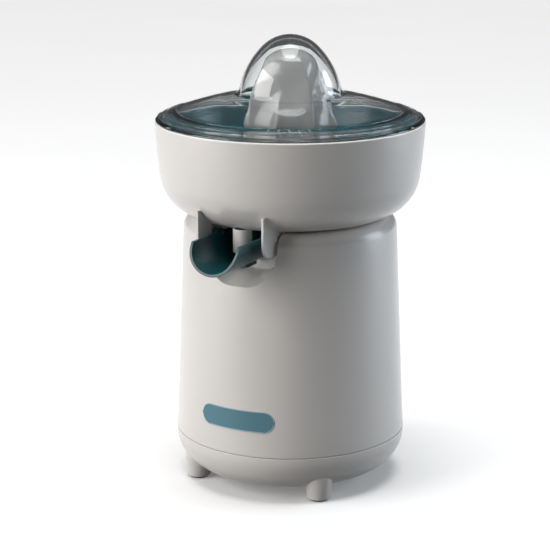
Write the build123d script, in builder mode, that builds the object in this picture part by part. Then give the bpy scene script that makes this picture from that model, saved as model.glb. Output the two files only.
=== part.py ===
from build123d import *
from math import acos, cos, pi, radians, sin, tan
import os

# Electric citrus press. Millimetres, +Z up, front towards -Y, origin on the axis at table level.

# ---- driving dimensions -------------------------------------------------------------------------
# body
SEAM_Z = 33.5            # split between the base cover and the body shell
BODY_FOOT_R = 78.2       # body radius at the seam
BODY_TOP_R = 71.7        # body radius below the shoulder
SHOULDER_R = 8.6         # rounding of the shoulder
DECK_Z = 182.0           # top of the body
WALL = 2.5               # body wall
BASE_Z = 6.7             # underside of the base cover
BASE_ARC_R = 24.3        # rounding of the base cover
FOOT_PCR = 65.7          # circle of the feet
FOOT_R = 8.6             # foot radius at its bottom
PAD_R = 6.5              # rubber pad radius
HUB_R = 14.5             # hub that stands up from the deck
HUB_TOP_Z = 214.0
HUB_SEAT_Z = 206.0       # underside of the hub's top, where the upper bush sits
BUSH_R = 7.5

# bay for the spout, in the front of the body
BAY_BACK_F = 46.0        # distance of its back wall in front of the axis
BAY_NECK_F = 58.0        # where the scoop ends and the straight part starts
BAY_MOUTH_F = 80.0       # a plane in front of the body
BAY_HALF_W = 26.2        # half width, floor and corner radius at the neck
BAY_FLOOR_Z = 153.2
BAY_CORNER_R = 22.0
BAY_FALL = 9.3           # how much lower the floor is at the mouth plane
BAY_WALL = 2.2

# hole for the cord gland, in the back
GLAND_Z = 46.0
GLAND_R = 5.2
GLAND_BORE_R = 3.4

# badge
BADGE_W = 54.4
BADGE_H = 14.4
BADGE_Z = 57.4

# bowl
BOWL_R = 90.3
BOWL_TOP_Z = 245.1
BOWL_BOTTOM_Z = 182.4
BOWL_ARC_R = 29.5        # rounding between the bottom and the side
BOWL_WALL = 2.2
CHIMNEY_R = 17.9         # sleeve that stands around the hub
CHIMNEY_TOP_Z = 217.0
LEDGE_Z = 242.6          # ledge for the strainer
CHEEK_X = 24.0           # the cheeks that carry the spout: place, thickness and outline
CHEEK_T = 1.6
CHEEK_BOTTOM_Z = 168.7
CHEEK_TOP_Z = 200.0      # inside the bowl's wall
CHEEK_FRONT_F = 82.0
CHEEK_REAR_F = 54.0
TUBE_F = 65.2
TUBE_R = 6.3
TUBE_BORE_R = 5.0
TUBE_END_Z = 168.5

# spout
SPOUT_R = 17.7
SPOUT_WALL = 1.8
SPOUT_CENTRE_Z = 178.5
SPOUT_TOP_Z = 180.5
SPOUT_FRONT_F = 99.5     # at its top edges
SPOUT_LIP_F = 107.0      # at the bottom of its lip
SPOUT_REAR_F = 50.0
KEEL_F = 60.2            # middle of the keel, and its lowest point
KEEL_Z = 158.6
PIVOT_F = 63.0
PIVOT_Z = 179.0
PIN_R = 1.5
BOSS_R = 2.8             # bosses around the pins, out to a half width
BOSS_X = 22.6
PIN_START_X = 16.6       # inner end of the pivot pins
PIN_HEAD_R = 2.2
PIN_HEAD_T = 0.5
RUNNING = 0.05           # radial clearance of every running fit

# strainer
STRAINER_R = 87.6
STRAINER_TOP_Z = 244.5
STRAINER_FLOOR_Z = 206.0
STRAINER_WALL = 1.8
SLOTS = 40

# lid
LID_R = 90.0
LID_SEAT_Z = 245.2
LID_WALL = 2.2
DOME_R = 26.0
DOME_CENTRE_Z = 276.0
BRIM_IN = (37.2, 262.7)  # the brim's arc runs from here
BRIM_OUT = (88.4, 248.0) # to here
BRIM_ARC_R = 296.0

# cone
CONE_BASE_Z = 212.0
CONE_TIP_Z = 292.5
CONE_R = 35.0
CONE_CAP_R = 24.4        # rounding of the tip
RIBS = 8
RIB_W = 3.4
RIB_DEPTH = 2.6
RIB_TURN = 11.0          # degrees
SOCKET_R = 8.0           # drive socket inside the cone
SOCKET_Z = 222.0

# drive
SPINDLE_R = 4.0
HEX_AF = 7.0
SPINDLE_TOP_Z = 248.0
CUP_FLOOR_Z = 116.0
OUT_TEETH, OUT_MODULE = 56, 1.0
IDLER_PINION_TEETH = 14
IDLER_TEETH, IDLER_MODULE = 60, 0.8
MOTOR_TEETH = 12
SHIFT = 0.4              # profile shift, positive on pinions and negative on wheels
BACKLASH = 0.16
PRESSURE = radians(20)
PLATE_Z = 120.0          # underside of the gear plate
PLATE_T = 2.5
BOX_R = 50.0             # gearbox radius
BOX_Y = 16.0             # its centre lies behind the axis
BOX_TOP_Z = 152.5
MOTOR_TURN = radians(45)

OUT_RP = OUT_MODULE * OUT_TEETH / 2
IDLER_Y = OUT_RP + OUT_MODULE * IDLER_PINION_TEETH / 2
MOTOR_ARM = IDLER_MODULE * (IDLER_TEETH + MOTOR_TEETH) / 2
MOTOR_X = -MOTOR_ARM * sin(MOTOR_TURN)
MOTOR_Y = IDLER_Y - MOTOR_ARM * cos(MOTOR_TURN)
SCREW_SPOTS = [(31.1, 47.1), (-31.1, 47.1), (31.1, -15.1), (-31.1, -15.1)]
BASE_SCREW_ANGLES = (20, 160, 200, 340)
BASE_SCREW_R = 57.0

os.makedirs("parts", exist_ok=True)


def front(distance):
    """Vertical plane at a distance in front of the axis: local x is +X, local y is +Z."""
    return Plane(origin=(0, -distance, 0), x_dir=(1, 0, 0), z_dir=(0, -1, 0))


def save(piece, name):
    piece.part.label = name
    export_step(piece.part, f"parts/{name}.step")


def turned(radius, angle):
    """Point on a circle, the angle in degrees from +X."""
    return (radius * cos(radians(angle)), radius * sin(radians(angle)))


def ring(outer, inner, low, high):
    """Closed outline of a ring in the XZ half plane."""
    with BuildLine(Plane.XZ) as line:
        Polyline((inner, low), (outer, low), (outer, high), (inner, high), close=True)
    return line.line


# ---- body ---------------------------------------------------------------------------------------
def body_outline(inset):
    """Half profile of the body, moved inwards by inset, closed on the axis."""
    top = DECK_Z - inset
    r_low = BODY_FOOT_R - inset
    r_high = BODY_TOP_R - inset
    rounding = SHOULDER_R - inset
    with BuildLine(Plane.XZ) as line:
        Polyline((0, top), (0, SEAM_Z), (r_low, SEAM_Z), (r_high, top - rounding))
        a = (r_high, top - rounding)
        b = (r_high - rounding, top)
        RadiusArc(a, b, -rounding)
        Line(b, (0, top))
    return line.line


def bay_outline(distance, grow):
    """U-shaped section of the bay at a distance in front of the axis, widened by grow."""
    share = (distance - BAY_NECK_F) / (BAY_MOUTH_F - BAY_NECK_F)
    share = max(share, 0)
    half = BAY_HALF_W + 0.6 * share + grow
    bottom = BAY_FLOOR_Z - BAY_FALL * share - grow
    corner = BAY_CORNER_R - 2.0 * share + grow
    mid = bottom + corner
    side = half - corner
    with BuildLine(front(distance)) as line:
        Line((-half, DECK_Z + 12), (-half, mid))
        RadiusArc((-half, mid), (-side, bottom), -corner)
        Line((-side, bottom), (side, bottom))
        RadiusArc((side, bottom), (half, mid), -corner)
        Line((half, mid), (half, DECK_Z + 12))
        Line((half, DECK_Z + 12), (-half, DECK_Z + 12))
    return line.line


def pill(grow):
    """Outline of the badge, drawn in the current sketch."""
    with Locations((0, BADGE_Z)):
        SlotOverall(BADGE_W + 2 * grow, BADGE_H + 2 * grow)


def wall_band(outer, inner):
    """Band along the body's side, measured outwards from its surface, around the badge."""
    slope = (BODY_FOOT_R - BODY_TOP_R) / (DECK_Z - SHOULDER_R - SEAM_Z)
    low, high = BADGE_Z - BADGE_H, BADGE_Z + BADGE_H

    def radius(z):
        return BODY_FOOT_R - slope * (z - SEAM_Z)

    with BuildLine(Plane.XZ) as line:
        Polyline((radius(low) + inner, low), (radius(low) + outer, low),
                 (radius(high) + outer, high), (radius(high) + inner, high), close=True)
    return line.line


with BuildPart() as badge_pocket:
    with BuildSketch(front(100)):
        pill(0.15)
    extrude(amount=-60)
    with BuildSketch(Plane.XZ):
        make_face(wall_band(3, -0.8))
    revolve(axis=Axis.Z, mode=Mode.INTERSECT)

with BuildPart() as badge:
    with BuildSketch(front(100)):
        pill(0)
    extrude(amount=-60)
    with BuildSketch(Plane.XZ):
        make_face(wall_band(0.4, -0.7))
    revolve(axis=Axis.Z, mode=Mode.INTERSECT)
save(badge, "badge")

with BuildPart() as bay_block:
    for distance in (BAY_MOUTH_F, BAY_NECK_F):
        with BuildSketch(front(distance)):
            make_face(bay_outline(distance, BAY_WALL))
    loft(ruled=True)
    with BuildSketch(front(BAY_NECK_F)):
        make_face(bay_outline(BAY_NECK_F, BAY_WALL))
    extrude(amount=-(BAY_NECK_F - BAY_BACK_F + BAY_WALL))
    with BuildSketch(Plane.XZ):
        make_face(body_outline(WALL / 2))
    revolve(axis=Axis.Z, mode=Mode.INTERSECT)

with BuildPart() as bay_space:
    for distance in (BAY_MOUTH_F, BAY_NECK_F):
        with BuildSketch(front(distance)):
            make_face(bay_outline(distance, 0))
    loft(ruled=True)
    with BuildSketch(front(BAY_NECK_F)):
        make_face(bay_outline(BAY_NECK_F, 0))
    extrude(amount=-(BAY_NECK_F - BAY_BACK_F))

with BuildPart() as body_shell:
    with BuildSketch(Plane.XZ):
        make_face(body_outline(0))
    revolve(axis=Axis.Z)
    with BuildSketch(Plane.XZ):
        make_face(body_outline(WALL))
    revolve(axis=Axis.Z, mode=Mode.SUBTRACT)
    add(bay_block.part)
    # posts that carry the gearbox, and columns with a web that take the base screws
    with BuildSketch(Plane.XY.offset(BOX_TOP_Z)):
        with Locations(*SCREW_SPOTS):
            Circle(4.2)
    extrude(amount=DECK_Z - WALL - BOX_TOP_Z + 0.5)
    for angle in BASE_SCREW_ANGLES:
        with BuildSketch(Plane.XY.offset(SEAM_Z + 0.5).rotated((0, 0, angle))):
            with Locations((BASE_SCREW_R, 0)):
                Circle(4.2)
        extrude(amount=34)
        with BuildSketch(Plane.XY.offset(SEAM_Z + 4).rotated((0, 0, angle))):
            with Locations((BASE_SCREW_R + 9.7, 0)):
                Rectangle(19.4, 2.4)
        extrude(amount=30.5)
    # hub
    with BuildSketch(Plane.XY.offset(DECK_Z - WALL)):
        Circle(HUB_R)
    extrude(amount=HUB_TOP_Z - DECK_Z + WALL)
    with BuildSketch(Plane.XY.offset(DECK_Z - WALL - 1)):
        Circle(HUB_R - 3)
    extrude(amount=HUB_SEAT_Z - DECK_Z + WALL + 1, mode=Mode.SUBTRACT)
    with BuildSketch(Plane.XY.offset(HUB_SEAT_Z - 1)):
        Circle(BUSH_R)
    extrude(amount=10, mode=Mode.SUBTRACT)
    # screw holes
    with BuildSketch(Plane.XY.offset(BOX_TOP_Z - 0.5)):
        with Locations(*SCREW_SPOTS):
            Circle(1.9)
    extrude(amount=14, mode=Mode.SUBTRACT)
    with BuildSketch(Plane.XY.offset(33.5)):
        with Locations(*[turned(BASE_SCREW_R, a) for a in BASE_SCREW_ANGLES]):
            Circle(1.5)
    extrude(amount=17, mode=Mode.SUBTRACT)
    with BuildSketch(front(-60)):
        with Locations((0, GLAND_Z)):
            Circle(GLAND_R)
    extrude(amount=-24, mode=Mode.SUBTRACT)
    add(bay_space.part, mode=Mode.SUBTRACT)
    add(badge_pocket.part, mode=Mode.SUBTRACT)
save(body_shell, "body_shell")


def base_outline(inset):
    """Half profile of the base cover, closed on the axis."""
    centre = (BODY_FOOT_R + 0.1 - BASE_ARC_R, BASE_Z + BASE_ARC_R)
    radius = BASE_ARC_R - inset
    a = (centre[0], centre[1] - radius)
    b = (centre[0] + radius, centre[1])
    with BuildLine(Plane.XZ) as line:
        Line((0, a[1]), a)
        RadiusArc(a, b, -radius)
        Polyline(b, (b[0], SEAM_Z - 0.3), (0, SEAM_Z - 0.3), (0, a[1]))
    return line.line


with BuildPart() as base_cover:
    with BuildSketch(Plane.XZ):
        make_face(base_outline(0))
    revolve(axis=Axis.Z)
    with BuildSketch(Plane.XY.offset(1.2)):
        with PolarLocations(FOOT_PCR, 4, start_angle=45):
            Circle(FOOT_R)
    extrude(amount=17, taper=-4)
    with BuildSketch(Plane.XZ):
        make_face(base_outline(WALL))
    revolve(axis=Axis.Z, mode=Mode.SUBTRACT)
    # lip that locates the body shell
    with BuildSketch(Plane.XZ):
        make_face(ring(75.4, 73.6, SEAM_Z - 4, SEAM_Z + 3))
    revolve(axis=Axis.Z)
    with BuildSketch(Plane.XZ):
        make_face(ring(76.2, 75.3, SEAM_Z - 4, SEAM_Z - 1.5))
    revolve(axis=Axis.Z)
    # columns for the screws, bored from below
    columns = [turned(BASE_SCREW_R, a) for a in BASE_SCREW_ANGLES]
    with BuildSketch(Plane.XY.offset(BASE_Z + 2)):
        with Locations(*columns):
            Circle(5.6)
    extrude(amount=34 - BASE_Z - 2)
    with BuildSketch(Plane.XY.offset(0)):
        with Locations(*columns):
            Circle(4.0)
    extrude(amount=26, mode=Mode.SUBTRACT)
    with BuildSketch(Plane.XY.offset(25)):
        with Locations(*columns):
            Circle(1.7)
    extrude(amount=10, mode=Mode.SUBTRACT)
    # pad seats
    with BuildSketch(Plane.XY.offset(0)):
        with PolarLocations(FOOT_PCR, 4, start_angle=45):
            Circle(PAD_R)
    extrude(amount=2.6, mode=Mode.SUBTRACT)
save(base_cover, "base_cover")

with BuildPart() as foot_pads:
    with BuildSketch(Plane.XY):
        with PolarLocations(FOOT_PCR, 4, start_angle=45):
            Circle(PAD_R)
    extrude(amount=2.6)
    chamfer(foot_pads.faces().group_by(Axis.Z)[0].edges(), 0.4)
save(foot_pads, "foot_pads")

with BuildPart() as base_screws:
    spots = [turned(BASE_SCREW_R, a) for a in BASE_SCREW_ANGLES]
    with BuildSketch(Plane.XY.offset(23.6)):
        with Locations(*spots):
            Circle(3.2)
    extrude(amount=2.4)
    with BuildSketch(Plane.XY.offset(26)):
        with Locations(*spots):
            Circle(1.5)
    extrude(amount=20)
save(base_screws, "base_screws")

with BuildPart() as cord_gland:
    for start, length, radius in ((73.0, 5.5, GLAND_R), (78.0, 1.8, 7.2), (71.0, 3.5, 7.0)):
        with BuildSketch(front(-start)):
            with Locations((0, GLAND_Z)):
                Circle(radius)
        extrude(amount=-length)
    with BuildSketch(front(-60)):
        with Locations((0, GLAND_Z)):
            Circle(GLAND_BORE_R)
    extrude(amount=-30, mode=Mode.SUBTRACT)
save(cord_gland, "cord_gland")


# ---- bowl ---------------------------------------------------------------------------------------
def bowl_outline(inset, top):
    """Half profile of the bowl, moved inwards by inset, closed on the axis."""
    centre_r = BOWL_R - 3.0 - BOWL_ARC_R
    centre_z = BOWL_BOTTOM_Z + BOWL_ARC_R
    radius = BOWL_ARC_R - inset
    lean = radians(7.5)
    a = (centre_r, centre_z - radius)
    b = (centre_r + radius * cos(lean), centre_z - radius * sin(lean))
    mid = (centre_r + radius * cos(pi / 4), centre_z - radius * sin(pi / 4))
    with BuildLine(Plane.XZ) as line:
        Line((0, a[1]), a)
        ThreePointArc(a, mid, b)
        rim = (BOWL_R - inset, top)
        TangentArc(b, rim, tangent=(sin(lean), cos(lean)))
        Polyline(rim, (0, top), (0, a[1]))
    return line.line


with BuildPart() as bowl:
    with BuildSketch(Plane.XZ):
        make_face(bowl_outline(0, BOWL_TOP_Z))
    revolve(axis=Axis.Z)
    # cheeks that carry the spout
    for side in (-1, 1):
        with BuildSketch(Plane.YZ.offset(side * CHEEK_X - CHEEK_T / 2)):
            with Locations((-(CHEEK_FRONT_F + CHEEK_REAR_F) / 2, (CHEEK_BOTTOM_Z + CHEEK_TOP_Z) / 2)):
                cheek = Rectangle(CHEEK_FRONT_F - CHEEK_REAR_F, CHEEK_TOP_Z - CHEEK_BOTTOM_Z)
            low = cheek.vertices().group_by(Axis.Z)[0].sort_by(Axis.Y)
            fillet(low[0], 9)
            fillet(low[-1], 5)
        extrude(amount=CHEEK_T)
    with BuildSketch(Plane.XY.offset(TUBE_END_Z)):
        with Locations((0, -TUBE_F)):
            Circle(TUBE_R)
    extrude(amount=BOWL_BOTTOM_Z + BOWL_WALL - TUBE_END_Z)
    with BuildSketch(Plane.XZ):
        make_face(bowl_outline(BOWL_WALL, BOWL_TOP_Z))
    revolve(axis=Axis.Z, mode=Mode.SUBTRACT)
    # ledge for the strainer
    with BuildSketch(Plane.XZ):
        with BuildLine():
            Polyline((88.4, 237.5), (85.8, 240.6), (85.8, LEDGE_Z), (88.4, LEDGE_Z), close=True)
        make_face()
    revolve(axis=Axis.Z)
    # sleeve around the hub
    with BuildSketch(Plane.XY.offset(BOWL_BOTTOM_Z)):
        Circle(CHIMNEY_R)
    extrude(amount=CHIMNEY_TOP_Z - BOWL_BOTTOM_Z)
    with BuildSketch(Plane.XY.offset(BOWL_BOTTOM_Z)):
        Circle(HUB_R + 1)
    extrude(amount=60, mode=Mode.SUBTRACT)
    with BuildSketch(Plane.XY.offset(TUBE_END_Z)):
        with Locations((0, -TUBE_F)):
            Circle(TUBE_BORE_R)
    extrude(amount=20, mode=Mode.SUBTRACT)
    with BuildSketch(Plane.YZ.offset(-30)):
        with Locations((-PIVOT_F, PIVOT_Z)):
            Circle(PIN_R)
    extrude(amount=60, mode=Mode.SUBTRACT)
save(bowl, "bowl")

with BuildPart() as spout_pins:
    for side in (-1, 1):
        with BuildSketch(Plane.YZ.offset(side * PIN_START_X)):
            with Locations((-PIVOT_F, PIVOT_Z)):
                Circle(PIN_R)
        extrude(amount=side * (CHEEK_X + CHEEK_T / 2 - PIN_START_X))
        with BuildSketch(Plane.YZ.offset(side * (CHEEK_X + CHEEK_T / 2))):
            with Locations((-PIVOT_F, PIVOT_Z)):
                Circle(PIN_HEAD_R)
        extrude(amount=side * PIN_HEAD_T)
save(spout_pins, "spout_pins")


# ---- spout --------------------------------------------------------------------------------------
def trough_outline(distance, radius, top):
    """Half-round section of the trough, open upwards."""
    with BuildLine(front(distance)) as line:
        Line((-radius, top), (-radius, SPOUT_CENTRE_Z))
        ThreePointArc((-radius, SPOUT_CENTRE_Z), (0, SPOUT_CENTRE_Z - radius), (radius, SPOUT_CENTRE_Z))
        Polyline((radius, SPOUT_CENTRE_Z), (radius, top), (-radius, top))
    return line.line


with BuildPart() as spout:
    with BuildSketch(front(SPOUT_REAR_F)):
        make_face(trough_outline(SPOUT_REAR_F, SPOUT_R, SPOUT_TOP_Z))
    extrude(amount=SPOUT_LIP_F - SPOUT_REAR_F)
    # the lip reaches further out at its bottom than at its top edges
    with BuildSketch(Plane.YZ.offset(-SPOUT_R - 1)):
        with BuildLine():
            tip = (-SPOUT_FRONT_F, SPOUT_TOP_Z)
            chin = (-SPOUT_LIP_F, SPOUT_CENTRE_Z - SPOUT_R)
            middle = (-SPOUT_LIP_F + 2, SPOUT_CENTRE_Z - SPOUT_R / 2)
            ThreePointArc(tip, middle, chin)
            Polyline(chin, (chin[0] - 1, chin[1] - 1), (chin[0] - 1, tip[1] + 1), (tip[0], tip[1] + 1), tip)
        make_face()
    extrude(amount=2 * SPOUT_R + 2, mode=Mode.SUBTRACT)
    # keel under the rear
    with BuildSketch(Plane.XY.offset(KEEL_Z)):
        with Locations((0, -KEEL_F)):
            SlotOverall(18, 9, rotation=90)
    extrude(amount=6)
    # bosses on the pivot line
    with BuildSketch(Plane.YZ.offset(-BOSS_X)):
        with Locations((-PIVOT_F, PIVOT_Z)):
            Circle(BOSS_R)
    extrude(amount=2 * BOSS_X)
    with BuildSketch(front(SPOUT_REAR_F + SPOUT_WALL)):
        make_face(trough_outline(SPOUT_REAR_F + SPOUT_WALL, SPOUT_R - SPOUT_WALL, SPOUT_TOP_Z + 8))
    extrude(amount=60, mode=Mode.SUBTRACT)
    with BuildSketch(Plane.YZ.offset(-30)):
        with Locations((-PIVOT_F, PIVOT_Z)):
            Circle(PIN_R + RUNNING)
    extrude(amount=60, mode=Mode.SUBTRACT)
save(spout, "spout")

# ---- strainer -----------------------------------------------------------------------------------
with BuildPart() as strainer:
    t = STRAINER_WALL
    mouth = 78.6
    foot = 64.0
    with BuildSketch(Plane.XZ):
        with BuildLine():
            Polyline((19.0, STRAINER_FLOOR_Z), (foot, STRAINER_FLOOR_Z))
            TangentArc((foot, STRAINER_FLOOR_Z), (74.6, 216.0), tangent=(1, 0))
            Polyline((74.6, 216.0), (mouth + t, LEDGE_Z + 0.05), (STRAINER_R, LEDGE_Z + 0.05),
                     (STRAINER_R, STRAINER_TOP_Z), (mouth, STRAINER_TOP_Z), (72.9, 216.4))
            TangentArc((foot, STRAINER_FLOOR_Z + t), (72.9, 216.4), tangent=(1, 0))
            Polyline((foot, STRAINER_FLOOR_Z + t), (21.0, STRAINER_FLOOR_Z + t), (21.0, 219.0),
                     (19.0, 219.0), (19.0, STRAINER_FLOOR_Z))
        make_face()
    revolve(axis=Axis.Z)
    with BuildSketch(Plane.XY.offset(STRAINER_FLOOR_Z - 1)):
        with PolarLocations(50, SLOTS):
            SlotOverall(22, 1.8)
    extrude(amount=5, mode=Mode.SUBTRACT)
save(strainer, "strainer")


# ---- lid ----------------------------------------------------------------------------------------
with BuildPart() as lid:
    steep = radians(45)
    half = (steep + pi / 2) / 2
    inner = DOME_R - LID_WALL
    dome_foot = (34.3, 265.0)
    dome_foot_in = (32.0, 264.4)
    crown = (DOME_R * cos(steep), DOME_CENTRE_Z + DOME_R * sin(steep))
    crown_in = (inner * cos(steep), DOME_CENTRE_Z + inner * sin(steep))
    brim_in = (BRIM_IN[0] - 0.8, BRIM_IN[1] - LID_WALL)
    skirt_in, skirt_out, skirt_z = 75.4, 77.4, 240.5
    under_brim = 250.8          # underside of the brim at the skirt
    with BuildSketch(Plane.XZ):
        with BuildLine():
            ThreePointArc((0, DOME_CENTRE_Z + DOME_R),
                          (DOME_R * cos(half), DOME_CENTRE_Z + DOME_R * sin(half)), crown)
            TangentArc(crown, dome_foot, tangent=(sin(steep), -cos(steep)))
            Line(dome_foot, BRIM_IN)
            RadiusArc(BRIM_IN, BRIM_OUT, BRIM_ARC_R)
            Polyline(BRIM_OUT, (LID_R, 246.6), (LID_R, LID_SEAT_Z), (86.6, LID_SEAT_Z),
                     (skirt_out, under_brim - 0.6), (skirt_out, skirt_z), (skirt_in, skirt_z),
                     (skirt_in, under_brim))
            RadiusArc((skirt_in, under_brim), brim_in, -BRIM_ARC_R)
            Line(brim_in, dome_foot_in)
            TangentArc(crown_in, dome_foot_in, tangent=(sin(steep), -cos(steep)))
            ThreePointArc(crown_in, (inner * cos(half), DOME_CENTRE_Z + inner * sin(half)),
                          (0, DOME_CENTRE_Z + inner))
            Line((0, DOME_CENTRE_Z + inner), (0, DOME_CENTRE_Z + DOME_R))
        make_face()
    revolve(axis=Axis.Z)
save(lid, "lid")

# ---- cone ---------------------------------------------------------------------------------------
def reamer_outline(depth):
    """Half profile of the cone, its side moved inwards by depth, closed on the axis."""
    cap_r = CONE_CAP_R - depth
    cap_z = CONE_TIP_Z - CONE_CAP_R
    edge = radians(45.8)
    half = radians(68)
    low = (CONE_R - 1.6 - depth, 232.0)
    mid = (CONE_R - 4.6 - depth, 258.0)
    high = (cap_r * cos(edge), cap_z + cap_r * sin(edge))
    tip = (0, cap_z + cap_r)
    with BuildLine(Plane.XZ) as line:
        Polyline((0, CONE_BASE_Z), (CONE_R - depth / 2, CONE_BASE_Z), low)
        ThreePointArc(low, mid, high)
        ThreePointArc(high, (cap_r * cos(half), cap_z + cap_r * sin(half)), tip)
        Line(tip, (0, CONE_BASE_Z))
    return line.line


with BuildPart() as cone_ribs:
    with BuildSketch(Plane.XZ):
        make_face(reamer_outline(0))
    revolve(axis=Axis.Z)
    with BuildSketch(Plane.XY.offset(CONE_BASE_Z)):
        with PolarLocations(22, RIBS, start_angle=RIB_TURN):
            Rectangle(44, RIB_W)
    extrude(amount=CONE_TIP_Z - CONE_BASE_Z, mode=Mode.INTERSECT)

with BuildPart() as cone:
    with BuildSketch(Plane.XZ):
        make_face(reamer_outline(RIB_DEPTH))
    revolve(axis=Axis.Z)
    add(cone_ribs.part)
    # hollow inside, around the drive socket in its middle
    with BuildSketch(Plane.XZ):
        with BuildLine():
            Polyline((0, CONE_BASE_Z), (28.0, CONE_BASE_Z), (26.0, 236.0), (18.0, 260.0),
                     (SOCKET_R, 267.0), (SOCKET_R, SOCKET_Z), (0, SOCKET_Z), close=True)
        make_face()
    revolve(axis=Axis.Z, mode=Mode.SUBTRACT)
    with BuildSketch(Plane.XY.offset(SOCKET_Z)):
        RegularPolygon(HEX_AF / 2 + 0.2, 6, major_radius=False)
    extrude(amount=SPINDLE_TOP_Z + 0.5 - SOCKET_Z, mode=Mode.SUBTRACT)
save(cone, "cone")


# ---- gears --------------------------------------------------------------------------------------
def involute(angle):
    return tan(angle) - angle


def gear_outline(teeth, module, shift, turn):
    """Involute gear outline about the origin, a tooth centred on the angle turn in degrees."""
    pitch_r = module * teeth / 2
    base_r = pitch_r * cos(PRESSURE)
    tip_r = module * (teeth / 2 + 1 + shift)
    root_r = module * (teeth / 2 - 1.25 + shift)
    thick = module * (pi / 2 + 2 * shift * tan(PRESSURE)) - BACKLASH
    low_r = max(base_r, root_r)

    def half_angle(r):
        flank = involute(acos(min(1, base_r / r)))
        return thick / (2 * pitch_r) + involute(PRESSURE) - flank

    def at(r, angle):
        return (r * cos(angle), r * sin(angle))

    mid_r = (low_r + tip_r) / 2
    step = 2 * pi / teeth
    with BuildLine() as line:
        for k in range(teeth):
            c = radians(turn) + k * step
            up = [(low_r, -half_angle(low_r)), (mid_r, -half_angle(mid_r)), (tip_r, -half_angle(tip_r))]
            down = [(r, -h) for r, h in reversed(up)]
            if root_r < low_r:
                Line(at(root_r, c - half_angle(low_r)), at(low_r, c - half_angle(low_r)))
            ThreePointArc(*[at(r, c + h) for r, h in up])
            Line(at(tip_r, c + up[2][1]), at(tip_r, c + down[0][1]))
            ThreePointArc(*[at(r, c + h) for r, h in down])
            if root_r < low_r:
                Line(at(low_r, c + half_angle(low_r)), at(root_r, c + half_angle(low_r)))
            Line(at(root_r, c + half_angle(low_r)), at(root_r, c + step - half_angle(low_r)))
    return line.line


OUT_LOW_Z = 136.5
IDLER_LOW_Z = 126.0
# directions of the lines of centres, in degrees from +X
OUT_TO_IDLER = 90.0
IDLER_TO_MOTOR = 270.0 - 45.0

with BuildPart() as output_gear:
    with BuildSketch(Plane.XY.offset(OUT_LOW_Z)):
        make_face(gear_outline(OUT_TEETH, OUT_MODULE, -SHIFT, OUT_TO_IDLER))
        Circle(SPINDLE_R, mode=Mode.SUBTRACT)
        with PolarLocations(17, 6):
            Circle(4.5, mode=Mode.SUBTRACT)
    extrude(amount=8)
    with BuildSketch(Plane.XY.offset(OUT_LOW_Z - 2)):
        Circle(8)
        Circle(SPINDLE_R, mode=Mode.SUBTRACT)
    extrude(amount=14)
save(output_gear, "output_gear")

# the idler's pinion has a gap, half a tooth from a tooth, on the line to the output gear
with BuildPart() as idler_gear:
    with BuildSketch(Plane.XY.offset(IDLER_LOW_Z)):
        with Locations((0, IDLER_Y)):
            add(make_face(gear_outline(IDLER_TEETH, IDLER_MODULE, -SHIFT, IDLER_TO_MOTOR),
                          mode=Mode.PRIVATE))
            Circle(2.45 + RUNNING, mode=Mode.SUBTRACT)
    extrude(amount=6)
    with BuildSketch(Plane.XY.offset(IDLER_LOW_Z + 6)):
        with Locations((0, IDLER_Y)):
            gap = OUT_TO_IDLER + 180 + 180 / IDLER_PINION_TEETH
            add(make_face(gear_outline(IDLER_PINION_TEETH, OUT_MODULE, SHIFT, gap), mode=Mode.PRIVATE))
            Circle(2.45 + RUNNING, mode=Mode.SUBTRACT)
    extrude(amount=15)
save(idler_gear, "idler_gear")

with BuildPart() as motor_pinion:
    with BuildSketch(Plane.XY.offset(IDLER_LOW_Z - 1.5)):
        with Locations((MOTOR_X, MOTOR_Y)):
            gap = IDLER_TO_MOTOR + 180 + 180 / MOTOR_TEETH
            add(make_face(gear_outline(MOTOR_TEETH, IDLER_MODULE, SHIFT, gap), mode=Mode.PRIVATE))
            Circle(2.0, mode=Mode.SUBTRACT)
    extrude(amount=9)
save(motor_pinion, "motor_pinion")

with BuildPart() as idler_axle:
    with BuildSketch(Plane.XY.offset(PLATE_Z)):
        with Locations((0, IDLER_Y)):
            Circle(2.45)
    extrude(amount=BOX_TOP_Z - PLATE_Z)
    chamfer(idler_axle.edges(), 0.4)
save(idler_axle, "idler_axle")

# ---- gearbox ------------------------------------------------------------------------------------
POSTS = [(MOTOR_X, MOTOR_Y + 22), (MOTOR_X, MOTOR_Y - 22)]
BRIDGE_POSTS = [(2.9, 18), (2.9, -18)]

with BuildPart() as gear_plate:
    with BuildSketch(Plane.XY.offset(PLATE_Z)):
        with Locations((0, BOX_Y)):
            Circle(BOX_R)
    extrude(amount=PLATE_T)
    with BuildSketch(Plane.XY.offset(PLATE_Z - 3.5)):
        Circle(10)
    extrude(amount=8)
    with BuildSketch(Plane.XY.offset(PLATE_Z - 5)):
        Circle(7 + RUNNING)
        with Locations((MOTOR_X, MOTOR_Y)):
            Circle(6.8)
        with Locations((0, IDLER_Y)):
            Circle(2.45)
        with Locations(*POSTS, *BRIDGE_POSTS):
            Circle(1.9)
        with Locations(*SCREW_SPOTS):
            Circle(2.1)
    extrude(amount=20, mode=Mode.SUBTRACT)
save(gear_plate, "gear_plate")

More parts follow.
